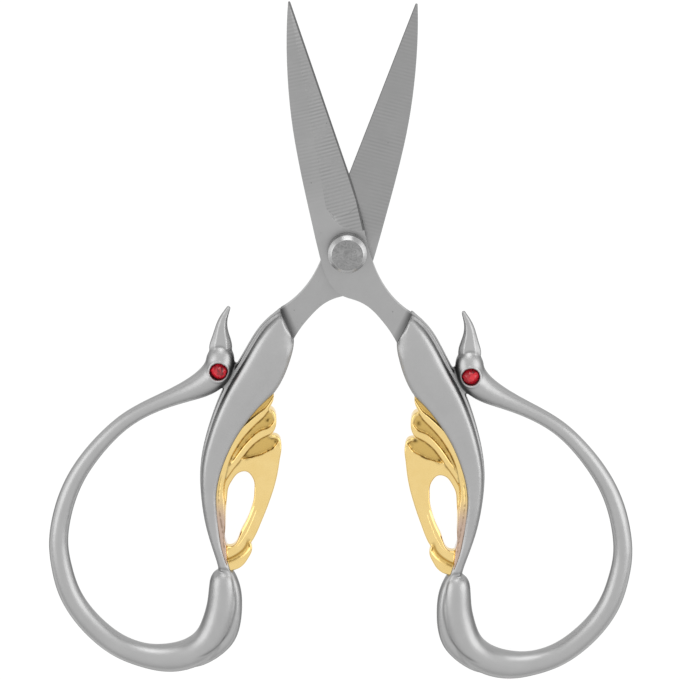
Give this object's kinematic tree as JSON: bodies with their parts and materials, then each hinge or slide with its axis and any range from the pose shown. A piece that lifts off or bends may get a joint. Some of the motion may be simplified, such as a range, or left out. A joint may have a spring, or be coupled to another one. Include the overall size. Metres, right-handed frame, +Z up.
{
  "type": "embroidery scissors",
  "caption": "Stork embroidery scissors with bright nickel bird handles, gilt wings and red stone eyes, shown opened.",
  "frame": {"origin": "Foot of the rivet, on the pivot axis, at the height of the table the scissors lie on", "axes": "+Y from the pivot towards the blade tips, +Z up from the table and along the rivet towards its head, +X to the right seen from above"},
  "size_m": [0.1052, 0.1252, 0.0073],
  "materials": {
    "blade_steel": "brushed",
    "nickel_casting": "satin",
    "gilt_brass": "polished",
    "eye_glass": "gloss",
    "rivet_steel": "polished"
  },
  "bodies": {
    "front_half": {"blade_front": "blade_steel", "handle_right": "nickel_casting", "wing_right": "gilt_brass", "stone_right_front": "eye_glass", "stone_right_rear": "eye_glass", "pivot_rivet": "rivet_steel", "pivot_washer": "rivet_steel"},
    "rear_half": {"blade_rear": "blade_steel", "handle_left": "nickel_casting", "wing_left": "gilt_brass", "stone_left_front": "eye_glass", "stone_left_rear": "eye_glass"}
  },
  "joints": [
    {"name": "pivot", "type": "hinge", "parent": "front_half", "child": "rear_half", "pos_m": [0, 0, 0.0028], "axis": [0, 0, 1], "range_deg": [-80, 27.87]}
  ]
}
